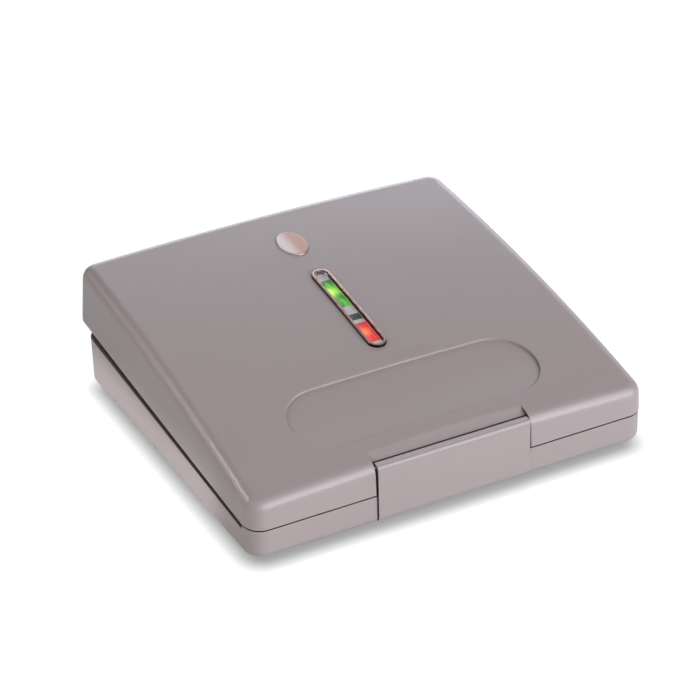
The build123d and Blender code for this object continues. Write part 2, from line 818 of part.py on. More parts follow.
def latch_clip():
    """Swinging front clip: a barrel at the top, a face plate and a turned-in lower edge."""
    inner = latch_face_y + latch_thickness
    lip = inner + latch_back_space - latch_running_gap
    half = latch_width / 2
    bottom = foot_height + latch_running_gap
    floor = bottom + latch_thickness
    outer = slab(-half, half, latch_face_y, lip, bottom, latch_top)
    outer = fillet(edges_at(outer, latch_face_y, bottom), base_bottom_radius)
    outer = fillet(edges_at(outer, latch_face_y, latch_top), latch_top_radius)
    hollow = slab(-big, big, inner, big, floor, big)
    clip = outer - fillet(edges_at(hollow, inner, floor), base_bottom_radius - latch_thickness)
    root = inner - latch_thickness / 2
    clip += slab(-half, half, root, pivot_y, pivot_z - latch_barrel_radius, latch_top)
    clip += rod_x(-half, half, pivot_y, pivot_z, latch_barrel_radius)
    hook_top = catch_top - catch_height - hook_gap
    hook_back = inner + (latch_back_space + hook_bite) / 2
    hook_half = catch_width / 2 - latch_side_gap
    clip += slab(-hook_half, hook_half, root, hook_back, hook_top - hook_height, hook_top)
    for index in range(latch_rib_count):
        x = (index - (latch_rib_count - 1) / 2) * latch_rib_spacing
        clip += slab(x - latch_rib_thickness / 2, x + latch_rib_thickness / 2, root, inner + latch_rib_depth,
                     catch_top + latch_running_gap, pivot_z)
    for side in (-1, 1):
        start = side * (half - latch_pin_reach)
        end = side * big
        clip -= rod_x(min(start, end), max(start, end), pivot_y, pivot_z,
                      latch_pin_radius + latch_running_clearance)
    return clip


def latch_pin(side):
    start = side * (latch_width / 2 - latch_pin_reach + latch_side_gap)
    end = side * (latch_width / 2 + latch_side_gap + latch_pin_reach)
    return rod_x(min(start, end), max(start, end), pivot_y, pivot_z, latch_pin_radius)


def hinge_pin(middle):
    outer = knuckle_width / 2 + knuckle_side_gap + ear_width
    return rod_x(middle - outer, middle + outer, hinge_y, hinge_z, hinge_pin_radius)


# ---- lamp window ----

def window_span(start, length):
    """Middle of a stretch of the window that starts so far from its back end."""
    return window_middle_y + window_length / 2 - start - length / 2


def lamp_bezel():
    ring = stadium(window_length, window_width, -window_proud, 0, window_middle_y, window_edge_radius)
    ring += stadium(window_length - window_rim, window_width - window_rim, -window_proud / 2, wall,
                    window_middle_y)
    inner = stadium(window_length - 2 * window_rim, window_width - 2 * window_rim, -over, over,
                    window_middle_y)
    return ring - inner


def lamp_lens():
    return stadium(window_length - 2 * window_rim, window_width - 2 * window_rim, -lens_proud,
                   lens_thickness - lens_proud, window_middle_y)


def window_block(start, length, grow):
    """Everything over the level z = 0 in a stretch of the window, wider by grow."""
    half = window_width / 2 - window_rim + grow
    y = window_span(start, length)
    return slab(-half, half, y - length / 2 - grow, y + length / 2 + grow, 0, big)


def window_tile(start, length):
    """Filter or dark tile under the lens."""
    block = window_block(start, length, 0)
    return (block & crown_body(filter_drop)) - crown_body(filter_drop + filter_thickness)


def neon_lamp(start, length):
    lamp = rod_y(0, -lamp_length / 2, lamp_length / 2, 0, lamp_radius)
    return under_crest(window_span(start, length), lamp_drop) * lamp


def lamp_holder():
    """Block under the window with a seat for each tile and a chamber for each lamp."""
    half = window_width / 2 + lamp_box_wall
    y0 = window_middle_y - window_length / 2 - lamp_box_wall
    y1 = window_middle_y + window_length / 2 + lamp_box_wall
    floor = lamp_drop + lamp_radius + lamp_gap
    holder = slab(-half, half, y0, y1, 0, big) & crown_body(wall + seat_gap)
    holder -= crown_body(floor + lamp_box_wall)
    seat_level = crown_body(filter_drop + filter_thickness)
    lamps = ((green_start, green_length), (red_start, red_length))
    for start, length in lamps + ((divider_start, divider_length),):
        holder -= window_block(start, length, seat_gap) - seat_level
    chamber_level = crown_body(floor)
    for start, length in lamps:
        holder -= window_block(start, length, -lamp_ledge) - chamber_level
    return holder


def badge_disc():
    return oval(disc_length, disc_width, -disc_proud, disc_sunk, disc_middle_y, disc_edge_radius)


# ---- small electrical pieces ----

def thermostat():
    z0 = pocket_back
    body = rod_z(thermostat_x, thermostat_y, z0, z0 + thermostat_height, thermostat_radius)
    return body


def thermal_fuse():
    z = pocket_back + fuse_radius
    return rod_y(fuse_x, fuse_y - fuse_length / 2, fuse_y + fuse_length / 2, z, fuse_radius)


def terminal_block():
    width, depth, height = block_size
    y = base_back_y - cover_lip - block_behind - depth / 2
    block = slab(block_x - width / 2, block_x + width / 2, y - depth / 2, y + depth / 2,
                 cover_top, cover_top + height)
    pitch = width / block_ways
    for index in range(block_ways):
        x = block_x + (index - (block_ways - 1) / 2) * pitch
        block -= rod_y(x, y - depth, y + depth, cover_top + height / 3, pitch / 5)
        block -= rod_z(x, y, cover_top + height / 3, cover_top + height * 2, pitch / 4)
    return block


def cord_inlet_bush():
    """Rubber bush that the mains lead passes through."""
    outside = base_back_y + inlet_flange
    seat = base_back_y - wall - inlet_play
    inside = seat - inlet_flange
    bush = rod_y(inlet_x, base_back_y, outside, inlet_z, inlet_flange_radius)
    bush += rod_y(inlet_x, seat, base_back_y, inlet_z, inlet_hole_radius)
    bush += rod_y(inlet_x, inside, seat, inlet_z, inlet_flange_radius)
    return bush - rod_y(inlet_x, inside, outside, inlet_z, inlet_bore_radius)


# ---- every piece, one file each ----

def write(name, shape):
    if isinstance(shape, list):
        shape = Compound(children=shape)
    export_step(shape, os.path.join("parts", name + ".step"))


def main():
    os.makedirs("parts", exist_ok=True)
    write("base_shell", base_shell())
    write("bottom_cover", bottom_cover())
    write("cover_screws", cover_screws())
    names = ("left_front", "left_back", "right_front", "right_back")
    for name, (x, y) in zip(names, foot_places()):
        write("rubber_foot_" + name, rubber_foot(x, y))
    write("lower_plate", to_base(plate()))
    write("lower_plate_screws", [to_base(screw) for screw in plate_screws()])
    write("lower_heater", to_base(heater()))
    write("lower_reflector", to_base(reflector(False)))
    write("lower_reflector_screws", [to_base(screw) for screw in reflector_screws()])
    write("thermal_fuse", to_base(thermal_fuse()))
    write("terminal_block", terminal_block())
    write("cord_inlet_bush", cord_inlet_bush())
    for name, middle in zip(("left", "right"), hinge_places()):
        write("hinge_pin_" + name, hinge_pin(middle))

    write("lid_shell", lid_shell())
    write("lid_frame", lid_frame())
    write("lid_frame_screws", lid_frame_screws())
    write("upper_plate", to_lid(plate()))
    write("upper_plate_screws", [to_lid(screw) for screw in plate_screws()])
    write("upper_heater", to_lid(heater()))
    write("upper_reflector", to_lid(reflector(True)))
    write("upper_reflector_screws", [to_lid(screw) for screw in reflector_screws()])
    write("thermostat", to_lid(thermostat()))
    write("lamp_bezel", lamp_bezel())
    write("lamp_lens", lamp_lens())
    write("green_filter", window_tile(green_start, green_length))
    write("red_filter", window_tile(red_start, red_length))
    write("lamp_divider", window_tile(divider_start, divider_length))
    write("green_lamp", neon_lamp(green_start, green_length))
    write("red_lamp", neon_lamp(red_start, red_length))
    write("lamp_holder", lamp_holder())
    write("badge_disc", badge_disc())

    write("latch_clip", latch_clip())
    for name, side in (("left", -1), ("right", 1)):
        write("latch_pin_" + name, latch_pin(side))


if __name__ == "__main__":
    main()
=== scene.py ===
import math

import bpy
from mathutils import Matrix, Vector


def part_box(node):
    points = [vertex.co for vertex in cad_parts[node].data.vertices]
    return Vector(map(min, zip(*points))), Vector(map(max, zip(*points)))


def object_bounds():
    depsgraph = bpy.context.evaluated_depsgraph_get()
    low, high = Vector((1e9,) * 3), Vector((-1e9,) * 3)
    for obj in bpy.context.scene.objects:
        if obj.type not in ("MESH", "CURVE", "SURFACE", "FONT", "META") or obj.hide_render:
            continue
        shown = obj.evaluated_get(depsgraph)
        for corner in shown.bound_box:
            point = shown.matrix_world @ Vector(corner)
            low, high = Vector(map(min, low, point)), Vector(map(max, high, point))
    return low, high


# A closed two-slice sandwich maker in satin taupe plastic. All of its shapes come from the frame.
# This script gives every piece its material and adds the camera, a floor, a tent of soft light and
# four lamps. A name that ends in _MM or _mm is in millimetres, and other lengths are in metres. A
# name that ends in _RGB or _rgb is an sRGB colour in levels of 0 to 255. Angles are in degrees:
# azimuth 0 is behind the object, 90 to its right and 180 in front of it.

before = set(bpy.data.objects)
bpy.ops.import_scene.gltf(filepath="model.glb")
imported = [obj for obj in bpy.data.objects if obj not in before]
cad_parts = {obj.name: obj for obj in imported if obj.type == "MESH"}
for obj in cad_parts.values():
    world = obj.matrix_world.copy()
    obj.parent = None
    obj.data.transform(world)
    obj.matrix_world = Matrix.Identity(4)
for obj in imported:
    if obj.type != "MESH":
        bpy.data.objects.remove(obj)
cad_low, cad_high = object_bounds()

MM = 0.001


# ---- camera: the photograph's viewing angle ----

EYE_MM = (-548.295, -1073.833, 751.935)
LOOK_AZIMUTH = 26.9711    # which way it looks
LOOK_DOWN = 30.6654       # and how far below level
ROLL = 1.5537             # its right side dips by this
LENS_MM = 134.83
SENSOR_MM = 36.0
CLIP_NEAR = 0.01
CLIP_FAR = 50.0


def make_camera():
    """Camera at the eye, turned by its three angles."""
    data = bpy.data.cameras.new("camera")
    data.sensor_width = SENSOR_MM
    data.lens = LENS_MM
    data.clip_start = CLIP_NEAR
    data.clip_end = CLIP_FAR
    camera = bpy.data.objects.new("camera", data)
    bpy.context.collection.objects.link(camera)
    turn = Matrix.Rotation(math.radians(-LOOK_AZIMUTH), 4, "Z")
    tilt = Matrix.Rotation(math.radians(90.0 - LOOK_DOWN), 4, "X")
    roll = Matrix.Rotation(math.radians(-ROLL), 4, "Z")
    camera.matrix_world = Matrix.Translation(Vector(EYE_MM) * MM) @ turn @ tilt @ roll
    bpy.context.scene.camera = camera


# ---- colours and places ----

def linear_channel(share):
    """The sRGB standard's curve, for one channel as a share of full."""
    return share / 12.92 if share <= 0.04045 else ((share + 0.055) / 1.055) ** 2.4


def linear(rgb):
    """Linear colour of an sRGB colour."""
    return tuple(linear_channel(level / 255) for level in rgb)


def tones(first_rgb, second_rgb):
    """The two linear colours that a surface wanders between."""
    return linear(first_rgb), linear(second_rgb)


def shades(rgb, low_gain, high_gain):
    """The same, as a darker and a lighter shade of one colour."""
    return tuple(tuple(gain * channel for channel in linear(rgb)) for gain in (low_gain, high_gain))


def rgba(colour):
    """A linear colour with full alpha. Another node's colour stays as it is."""
    return colour if isinstance(colour, bpy.types.NodeSocket) else (*colour, 1.0)


def grey(level):
    """A linear grey with full alpha."""
    return rgba((level, level, level))


def corners(node):
    """A node's lowest and highest corner at rest."""
    return tuple(Vector(corner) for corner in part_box(node))


def point_of_box(x_share, y_share, z_share):
    """A point of the object, by its shares of the CAD box's width, depth and height."""
    sides = zip(cad_low, cad_high, (x_share, y_share, z_share))
    return Vector([low + share * (high - low) for low, high, share in sides])


def toward(azimuth, elevation):
    """Unit vector to a part of the studio."""
    turn = math.radians(azimuth)
    rise = math.radians(elevation)
    return Vector((math.sin(turn) * math.cos(rise), math.cos(turn) * math.cos(rise), math.sin(rise)))


# ---- node helpers ----

NOISE_LOW = 0.25     # the middle half of a noise's values
NOISE_HIGH = 0.75
BOX_EDGE_MM = 0.05   # width of the soft edge of a box in facet_normal_within


class Nodes:
    """A node tree, with short calls for the nodes used here."""

    def __init__(self, tree):
        self.tree = tree

    def add(self, kind, **inputs):
        """A new node with some inputs set. A space in an input's name is written as _."""
        node = self.tree.nodes.new(kind)
        for name, value in inputs.items():
            self.put(node.inputs[name.replace("_", " ")], value)
        return node

    def put(self, socket, value):
        """Sets a socket to a plain value, or links it to another node's output."""
        if isinstance(value, bpy.types.NodeSocket):
            self.tree.links.new(value, socket)
        else:
            socket.default_value = value

    def math(self, operation, first, second=0.0):
        """A number worked out from one or two numbers."""
        node = self.add("ShaderNodeMath")
        node.operation = operation
        self.put(node.inputs[0], first)
        self.put(node.inputs[1], second)
        return node.outputs["Value"]

    def vector_math(self, operation, first, second):
        """A number worked out from two vectors."""
        node = self.add("ShaderNodeVectorMath")
        node.operation = operation
        self.put(node.inputs[0], first)
        self.put(node.inputs[1], second)
        return node.outputs["Value"]

    def mix(self, data_type, factor, first, second):
        """First at factor 0 and second at 1."""
        node = self.add("ShaderNodeMix")
        node.data_type = data_type
        self.put(node.inputs["Factor"], factor)
        self.put(node.inputs["A"], first)
        self.put(node.inputs["B"], second)
        return node.outputs["Result"]

    def both(self, first, second):
        """Two shaders added up."""
        node = self.add("ShaderNodeAddShader")
        self.put(node.inputs[0], first)
        self.put(node.inputs[1], second)
        return node.outputs["Shader"]

    def by_ray(self, output, to_camera, to_others):
        """Shows one shader to the camera and the other to every other ray."""
        node = self.add("ShaderNodeMixShader")
        self.put(node.inputs[0], self.add("ShaderNodeLightPath").outputs["Is Camera Ray"])
        self.put(node.inputs[1], to_others)
        self.put(node.inputs[2], to_camera)
        self.put(output.inputs["Surface"], node.outputs["Shader"])


class Surface(Nodes):
    """A new material, with patterns that lie in the object's own coordinates."""

    def __init__(self, name):
        self.material = bpy.data.materials.new(name)
        self.material.use_nodes = True
        super().__init__(self.material.node_tree)
        self.shader = self.tree.nodes["Principled BSDF"]
        coordinates = self.add("ShaderNodeTexCoord")
        self.place = coordinates.outputs["Object"]
        self.facing = coordinates.outputs["Normal"]

    def set(self, **inputs):
        """Sets or links the shader's own sockets."""
        for name, value in inputs.items():
            self.put(self.shader.inputs[name.replace("_", " ")], value)

    def noise(self, per_m, detail=3.0, stretch=None):
        """Noise of about per_m patches to the metre. A small stretch draws it out along an axis."""
        place = self.place
        if stretch:
            place = self.add("ShaderNodeMapping", Vector=place, Scale=stretch).outputs["Vector"]
        return self.add("ShaderNodeTexNoise", Vector=place, Scale=per_m, Detail=detail).outputs["Fac"]

    def step(self, value, start, end, low=0.0, high=1.0):
        """Low up to start and high from end on, with a soft slope between them."""
        node = self.add("ShaderNodeMapRange", Value=value, From_Min=start, From_Max=end,
                        To_Min=low, To_Max=high)
        node.interpolation_type = "SMOOTHSTEP"
        return node.outputs["Result"]

    def spread(self, noise, low=0.0, high=1.0):
        """A noise, spread over the range from low to high."""
        return self.step(noise, NOISE_LOW, NOISE_HIGH, low, high)

    def between(self, factor, first, second):
        """A colour between two, each a linear triple or another node's colour."""
        return self.mix("RGBA", factor, rgba(first), rgba(second))

    def mottled(self, noise, pair):
        """A colour that wanders between two with a noise."""
        return self.between(self.spread(noise), *pair)

    def axis(self, letter, vector=None):
        """One coordinate of the surface's place, or of another vector."""
        node = self.add("ShaderNodeSeparateXYZ", Vector=vector or self.place)
        return node.outputs[letter]

    def apart(self, letter, middle):
        """How far the surface lies from a middle value, along one axis."""
        return self.math("ABSOLUTE", self.math("SUBTRACT", self.axis(letter), middle))

    def bump(self, height, depth_mm, strength=0.4, normal=None):
        """Fine relief for the shader's normal."""
        node = self.add("ShaderNodeBump", Height=height, Distance=depth_mm * MM, Strength=strength)
        if normal:
            self.put(node.inputs["Normal"], normal)
        return node.outputs["Normal"]

    def facet_normal_within(self, box_mm, share):
        """The shading normal, bent by a share towards each facet's own inside a box."""
        inside = share
        for letter, (first, last) in zip("XYZ", box_mm):
            place = self.axis(letter)
            after = self.step(place, (first - BOX_EDGE_MM) * MM, first * MM)
            before = self.step(place, last * MM, (last + BOX_EDGE_MM) * MM, 1.0, 0.0)
            inside = self.math("MULTIPLY", inside, self.math("MULTIPLY", after, before))
        surface = self.add("ShaderNodeNewGeometry")
        return self.mix("VECTOR", inside, surface.outputs["Normal"], surface.outputs["True Normal"])


# ---- plastics, rubber and ceramic ----

HOUSING_RGB = (149, 136, 132)
UNDERSIDE_RGB = (84, 80, 80)
DECK_RGB = (52, 50, 50)
HOLDER_RGB = (206, 205, 203)
DIVIDER_RGB = (30, 62, 54)
# colour of the painted shade in narrow gaps
PAINTED_GAP_SHADE_RGB = (56, 43, 42)

FLOW_PER_M = 9.0          # slow changes of tone in a moulding
GLOSS_PER_M = 25.0        # and of its gloss
GLOSS_SWING = 0.02

GAP_REACH_MM = 8.0        # how near another surface has to be for the painted gap shade
GAP_FULL = 0.2            # share of open sky at which the painted gap shade is darkest
GAP_NONE = 0.95           # and from which there is no painted gap shade
GAP_SAMPLES = 8
NOTCH_REACH_MM = 13.2     # the lid's top begins this far behind the latch
TOP_FADE_MM = 2.0

# where the lid's crown has four skewed normals, behind the recess's rim
SKEWED_BOX_MM = ((0.6, 25.4), (-46.4, -37.5), (50.0, 80.0))
SKEW_TAKEN_OUT = 0.5


def painted_gap_shade(look, colour):
    """Painted shade: darkens a colour in narrow gaps, where other surfaces are near and shade falls. The
    lid's top has no gaps and is left as it is: it lies behind the latch's notch and above the latch."""
    latch = corners("latch_clip")[1]
    top_y = latch.y + NOTCH_REACH_MM * MM
    open_share = look.add("ShaderNodeAmbientOcclusion", Distance=GAP_REACH_MM * MM)
    open_share.samples = GAP_SAMPLES
    # painted shade: the colour goes darker where the occlusion node finds other surfaces near
    painted_shade_share = look.step(open_share.outputs["AO"], GAP_FULL, GAP_NONE, 1.0, 0.0)
    behind_notch = look.step(look.axis("Y"), top_y, top_y + TOP_FADE_MM * MM)
    above_latch = look.step(look.axis("Z"), latch.z, latch.z + TOP_FADE_MM * MM)
    off_top = look.math("SUBTRACT", 1.0, look.math("MULTIPLY", behind_notch, above_latch))
    return look.between(look.math("MULTIPLY", painted_shade_share, off_top), colour, linear(PAINTED_GAP_SHADE_RGB))


def moulded_plastic(name, rgb, roughness, grain_mm, grain_depth_mm, tone=0.03, housing=False):
    """Moulded plastic: slow flow tone, slightly uneven gloss and a fine mould grain. The housing also gets
    painted shade in its gaps, and its skewed normals half set right."""
    look = Surface(name)
    flow = look.noise(per_m=FLOW_PER_M, detail=2.0)
    colour = look.mottled(flow, shades(rgb, 1.0 - tone, 1.0 + tone))
    smooth = None
    if housing:
        # painted shade in the housing's gaps
        colour = painted_gap_shade(look, colour)
        smooth = look.facet_normal_within(SKEWED_BOX_MM, SKEW_TAKEN_OUT)
    gloss = look.noise(per_m=GLOSS_PER_M, detail=2.0)
    grain = look.noise(per_m=1.0 / (grain_mm * MM), detail=1.0)
    look.set(Base_Color=colour, IOR=1.5)
    look.set(Roughness=look.spread(gloss, roughness - GLOSS_SWING, roughness + GLOSS_SWING))
    look.set(Normal=look.bump(grain, grain_depth_mm, normal=smooth))
    return look.material


def holder_with_painted_glow(name, rgb, glow):
    """Pale lamp holder with a painted glow: emission that stands in for the lamps' light in it."""
    look = Surface(name)
    colour = look.mottled(look.noise(per_m=160.0), shades(rgb, 0.88, 1.08))
    # painted glow: the holder's own colour also given as emission
    look.set(Base_Color=colour, Emission_Color=colour, Emission_Strength=glow)
    look.set(Roughness=look.spread(look.noise(per_m=200.0), 0.35, 0.5))
    look.set(Normal=look.bump(look.noise(per_m=900.0), depth_mm=0.01))
    return look.material


def soft_rubber(name):
    """Matt black rubber with a slight dusty mottle."""
    look = Surface(name)
    look.set(Base_Color=look.mottled(look.noise(per_m=150.0), tones((30, 29, 29), (44, 43, 43))))
    look.set(Roughness=look.spread(look.noise(per_m=300.0), 0.62, 0.8))
    look.set(Normal=look.bump(look.noise(per_m=1500.0), depth_mm=0.03, strength=0.5))
    return look.material


def glazed_ceramic(name):
    """Ivory ceramic with a glaze of uneven gloss."""
    look = Surface(name)
    look.set(Base_Color=look.mottled(look.noise(per_m=80.0), tones((226, 221, 210), (238, 235, 228))))
    look.set(Roughness=look.spread(look.noise(per_m=200.0), 0.18, 0.3))
    look.set(Normal=look.bump(look.noise(per_m=260.0), depth_mm=0.02))
    return look.material


# ---- metals and coatings ----

ALUMINIUM_RGB = (205, 205, 208)
ZINC_RGB = (172, 172, 168)
STEEL_RGB = (190, 190, 192)
CAP_RGB = (176, 176, 178)
METAL_TONE = 0.08       # how much darker and lighter a bare metal's blotches are
LINES_SMOOTHER = 0.06   # roughness lost and gained along its drawn lines
LINES_ROUGHER = 0.08


def brushed_metal(name, rgb, roughness, stretch):
    """Metal with fine drawn lines along one direction."""
    look = Surface(name)
    lines = look.noise(per_m=400.0, detail=6.0, stretch=stretch)
    blotch = look.noise(per_m=60.0)
    look.set(Base_Color=look.mottled(blotch, shades(rgb, 1.0 - METAL_TONE, 1.0 + METAL_TONE)))
    look.set(Roughness=look.spread(lines, roughness - LINES_SMOOTHER, roughness + LINES_ROUGHER))
    look.set(Metallic=1.0)
    look.set(Normal=look.bump(lines, depth_mm=0.01))
    return look.material


def heated_sheath(name):
    """Steel sheath of a heater, browned and blued by heat."""
    look = Surface(name)
    patch = look.noise(per_m=90.0, detail=4.0)
    look.set(Base_Color=look.mottled(patch, tones((92, 74, 62), (104, 108, 122))), Metallic=1.0)
    look.set(Roughness=look.spread(look.noise(per_m=300.0), 0.38, 0.55))
    look.set(Normal=look.bump(look.noise(per_m=900.0), depth_mm=0.015))
    return look.material


def coated_plate(name):
    """Black non-stick coating: fine speckle and a slight orange-peel surface."""
    look = Surface(name)
    speckle = look.add("ShaderNodeTexVoronoi", Vector=look.place, Scale=900.0).outputs["Distance"]
    fleck = look.add("ShaderNodeMapRange", Value=speckle, From_Min=0.05, From_Max=0.35,
                     To_Min=1.0, To_Max=0.0)
    look.set(Base_Color=look.between(fleck.outputs["Result"], *tones((30, 29, 30), (62, 61, 62))))
    look.set(Roughness=look.spread(look.noise(per_m=120.0, detail=4.0), 0.32, 0.44))
    look.set(Normal=look.bump(look.noise(per_m=700.0, detail=2.0), depth_mm=0.02, strength=0.5))
    return look.material


# ---- badge and signal window ----

BEZEL_RIM_MM = 1.0
WALL_UP = 0.6             # the upward part of the normal on the bezel's walls, which get painted shade, is below this
RIM_UP = 0.9              # and on its rim it is above this
PALE_TO = -0.6            # the disc's painted reflection keeps it pale up to here, in half widths to the right of its middle
PINK_FROM = 0.3           # and pinker from here on

GREEN_RGB = ((44, 120, 8), (96, 198, 30))     # deep and bright
GREEN_GLOW_RGB = (206, 246, 96)
RED_RGB = ((196, 26, 18), (238, 56, 38))
RED_GLOW_RGB = (255, 150, 90)
CLEAR_END_RGB = (196, 192, 190)
CLEAR_EDGE_MM = 0.4
GREEN_SPOT = Vector((0.32, 0.57, 0.57))   # the painted glow's brightest point, as shares of the tile's box
RED_SPOT = Vector((0.4, 0.6, 0.6))
SPOT_CORE = 0.1           # share of a spot's reach that glows in full
STREAK_LOW = 0.35         # the noise gives a filter's deep colour up to this
STREAK_HIGH = 0.65        # and its bright one from this on
FADE_FROM = 0.45          # a tile's glow fades between these shares of its half length
FADE_TO = 0.98
FADE_LEAVES = 0.5         # and leaves this share at its ends


def rose_bezel(name, node):
    """Rose-plated rim, with painted shade on its walls by how far they face up: its inner wall is painted
    duller and its outer wall is painted dark.
    """
    look = Surface(name)
    low, high = corners(node)
    middle = (low + high) / 2
    half_width = (high.x - low.x) / 2
    straight = (high.y - low.y) / 2 - half_width
    rim = BEZEL_RIM_MM * MM
    across = look.apart("X", middle.x)
    past_end = look.math("MAXIMUM", look.math("SUBTRACT", look.apart("Y", middle.y), straight))
    squares = [look.math("MULTIPLY", leg, leg) for leg in (across, past_end)]
    from_line = look.math("SQRT", look.math("ADD", *squares))
    outward = look.step(from_line, half_width - rim, half_width - 0.5 * rim)
    up = look.step(look.axis("Z", look.facing), WALL_UP, RIM_UP)
    grain = look.noise(per_m=260.0)
    rose = look.mottled(grain, tones((172, 132, 122), (208, 172, 162)))
    # painted shade: darker copies of the rose for the inner and outer walls, chosen by how far a surface
    # faces up
    inner = look.mottled(grain, tones((116, 92, 86), (150, 124, 116)))
    outer = look.mottled(grain, tones((26, 18, 16), (50, 36, 31)))
    look.set(Base_Color=look.between(up, look.between(outward, inner, outer), rose), Metallic=1.0)
    look.set(Roughness=look.spread(look.noise(per_m=600.0, stretch=(1.0, 0.08, 1.0)), 0.16, 0.28))
    look.set(Normal=look.bump(look.noise(per_m=500.0, detail=2.0), depth_mm=0.004))
    return look.material


def rose_disc(name, node):
    """Satin rose-silver disc with a painted reflection: paler to its left, pinker to its right, with fine
    turned rings.
    """
    look = Surface(name)
    low, high = corners(node)
    middle = (low + high) / 2
    half_width = (high.x - low.x) / 2
    across = look.math("SUBTRACT", look.axis("X"), middle.x)
    # painted reflection: the left of the disc paler than its own pink
    pale_to_pink_painted_reflection = look.step(across, PALE_TO * half_width, PINK_FROM * half_width)
    radius = look.vector_math("DISTANCE", look.place, middle)
    rings = look.add("ShaderNodeTexNoise", Scale=1400.0, Detail=3.0)
    rings.noise_dimensions = "1D"
    look.put(rings.inputs["W"], radius)
    look.set(Base_Color=look.between(pale_to_pink_painted_reflection, *tones((196, 184, 179), (176, 140, 127))), Metallic=0.75)
    look.set(Roughness=look.spread(rings.outputs["Fac"], 0.30, 0.46))
    look.set(Normal=look.bump(rings.outputs["Fac"], depth_mm=0.003, strength=0.3))
    return look.material


def clear_plastic(name):
    """Polished clear window with faint flow lines."""
    look = Surface(name)
    look.set(Base_Color=look.mottled(look.noise(per_m=60.0), ((0.93, 0.92, 0.91), (1.0, 1.0, 1.0))))
    look.set(Roughness=look.spread(look.noise(per_m=200.0), 0.02, 0.06))
    look.set(Transmission_Weight=1.0, IOR=1.3)
    look.set(Normal=look.bump(look.noise(per_m=180.0, detail=1.0), depth_mm=0.01, strength=0.3))
    return look.material


def lamp_glass(name):
    """Warm, slightly smoky glass of a neon lamp."""
    look = Surface(name)
    look.set(Base_Color=look.mottled(look.noise(per_m=300.0), ((0.9, 0.8, 0.7), (1.0, 0.95, 0.9))))
    look.set(Roughness=look.spread(look.noise(per_m=400.0), 0.05, 0.12))
    look.set(Transmission_Weight=0.8, IOR=1.47)
    return look.material


def filter_with_painted_glow(name, node, rgb, glow_rgb, spot, spot_reach_mm, glow, clear_end_mm=0.0):
    """Coloured tile over a burning lamp, with a painted glow in place of the lamp's light: a bright
    painted spot over the lamp, deeper colour at its ends where the painted glow fades, and a front end
    that is left clear over the pale holder."""
    look = Surface(name)
    low, high = corners(node)
    reach = spot_reach_mm * MM
    front = low.y + clear_end_mm * MM
    half = (high.y - low.y) / 2
    streak = look.noise(per_m=330.0, stretch=(1.0, 0.3, 1.0))
    colour = look.between(look.step(streak, STREAK_LOW, STREAK_HIGH), *tones(*rgb))
    clear = look.step(look.axis("Y"), front - CLEAR_EDGE_MM * MM, front, 1.0, 0.0)
    body = look.between(clear, colour, linear(CLEAR_END_RGB))
    from_spot = look.vector_math("DISTANCE", look.place, low + (high - low) * spot)
    near = look.step(from_spot, SPOT_CORE * reach, reach, 1.0, 0.0)
    along = look.apart("Y", (low.y + high.y) / 2)
    # painted glow: emission, brightest at the spot over the lamp
    look.set(Base_Color=body, Emission_Color=look.between(near, body, linear(glow_rgb)))
    fade = look.step(along, FADE_FROM * half, FADE_TO * half, glow, FADE_LEAVES * glow)
    look.set(Emission_Strength=fade)
    look.set(Roughness=look.spread(streak, 0.25, 0.4))
    look.set(Normal=look.bump(streak, depth_mm=0.05, strength=0.5))
    return look.material


# ---- each piece's material ----

def give(material, *nodes):
    """Puts a material on the frame's own pieces."""
    for node in nodes:
        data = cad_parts[node].data
        data.materials.clear()
        data.materials.append(material)


def dress_housing():
    """The shells, the latch and what closes the machine below."""
    housing = moulded_plastic("satin_housing", HOUSING_RGB, roughness=0.3, grain_mm=0.35,
                              grain_depth_mm=0.0015, tone=0.008, housing=True)
    underside = moulded_plastic("underside_plastic", UNDERSIDE_RGB, roughness=0.5, grain_mm=0.7,
                                grain_depth_mm=0.05)
    deck = moulded_plastic("deck_plastic", DECK_RGB, roughness=0.45, grain_mm=0.8, grain_depth_mm=0.03)
    feet = [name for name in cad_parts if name.startswith("rubber_foot")]
    give(housing, "lid_shell", "base_shell", "latch_clip")
    give(underside, "bottom_cover")
    give(deck, "lid_frame")
    give(soft_rubber("rubber"), "cord_inlet_bush", *feet)


def dress_cooking_parts():
    """The plates and what heats them."""
    give(coated_plate("non_stick_coating"), "upper_plate", "lower_plate")
    give(heated_sheath("heater_sheath"), "upper_heater", "lower_heater")
    give(glazed_ceramic("ceramic"), "terminal_block", "thermal_fuse")
    give(brushed_metal("rolled_aluminium", ALUMINIUM_RGB, 0.3, stretch=(0.05, 1.0, 1.0)),
         "upper_reflector", "lower_reflector")
    give(brushed_metal("pressed_cap", CAP_RGB, 0.32, stretch=(1.0, 0.1, 1.0)), "thermostat")


def dress_fasteners():
    """Screws and pins."""
    give(brushed_metal("zinc_plate", ZINC_RGB, 0.35, stretch=(1.0, 1.0, 1.0)),
         "cover_screws", "lid_frame_screws", "upper_plate_screws", "lower_plate_screws",
         "upper_reflector_screws", "lower_reflector_screws")
    give(brushed_metal("drawn_steel", STEEL_RGB, 0.28, stretch=(0.04, 1.0, 1.0)),
         "hinge_pin_left", "hinge_pin_right", "latch_pin_left", "latch_pin_right")


